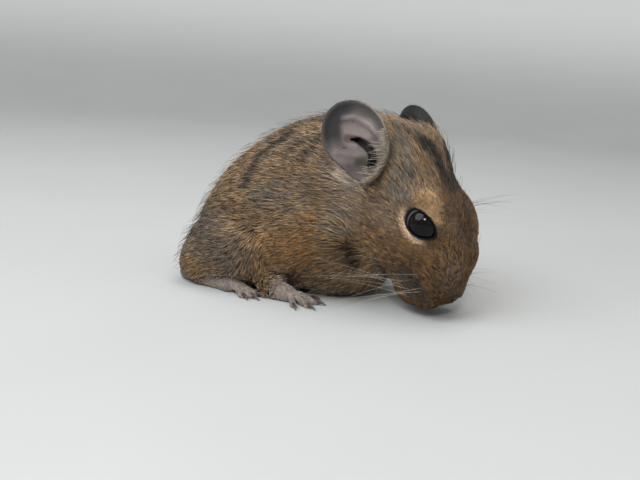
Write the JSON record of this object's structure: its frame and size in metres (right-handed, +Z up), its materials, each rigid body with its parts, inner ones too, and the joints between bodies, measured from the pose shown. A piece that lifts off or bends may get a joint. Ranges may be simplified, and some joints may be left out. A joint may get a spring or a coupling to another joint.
{
  "type": "degu",
  "caption": "Young degu crouching on the floor with its head bowed and turned to its right, tail laid round its left side, as a still life-size model.",
  "frame": {"origin": "on the floor, under the middle of the whole animal's bounding box", "axes": "+X the way the trunk faces, +Y the animal's left side, +Z up; the floor is z = 0"},
  "size_m": [0.086, 0.0626, 0.0505],
  "materials": {
    "coat": "short agouti fur, golden brown with dark tips, cream below",
    "ear_skin": "thin bare grey-pink skin, darker at the rim",
    "eye": "wet, near-black",
    "nose_skin": "fine-grained dark skin",
    "paw_skin": "grey skin under thin pale hair",
    "claw": "dark horn, smooth",
    "tail_hair": "short brown hair with a black brush at the end"
  },
  "bodies": {
    "root": {"trunk": "coat", "neck": "coat", "head": "coat", "nose": "nose_skin", "eye_l": "eye", "eye_r": "eye", "ear_l": "ear_skin", "ear_r": "ear_skin", "foreleg_l": "coat", "foreleg_r": "coat", "hindleg_l": "coat", "hindleg_r": "coat", "forepaw_l": "paw_skin", "forepaw_r": "paw_skin", "hindfoot_l": "paw_skin", "hindfoot_r": "paw_skin", "tail_base": "tail_hair", "tail_middle": "tail_hair", "tail_brush": "tail_hair", "foreclaw_l_1": "claw", "foreclaw_l_2": "claw", "foreclaw_l_3": "claw", "foreclaw_l_4": "claw", "foreclaw_r_1": "claw", "foreclaw_r_2": "claw", "foreclaw_r_3": "claw", "foreclaw_r_4": "claw", "hindclaw_l_1": "claw", "hindclaw_l_2": "claw", "hindclaw_l_3": "claw", "hindclaw_l_4": "claw", "hindclaw_l_5": "claw", "hindclaw_r_1": "claw", "hindclaw_r_2": "claw", "hindclaw_r_3": "claw", "hindclaw_r_4": "claw", "hindclaw_r_5": "claw"}
  },
  "joints": []
}
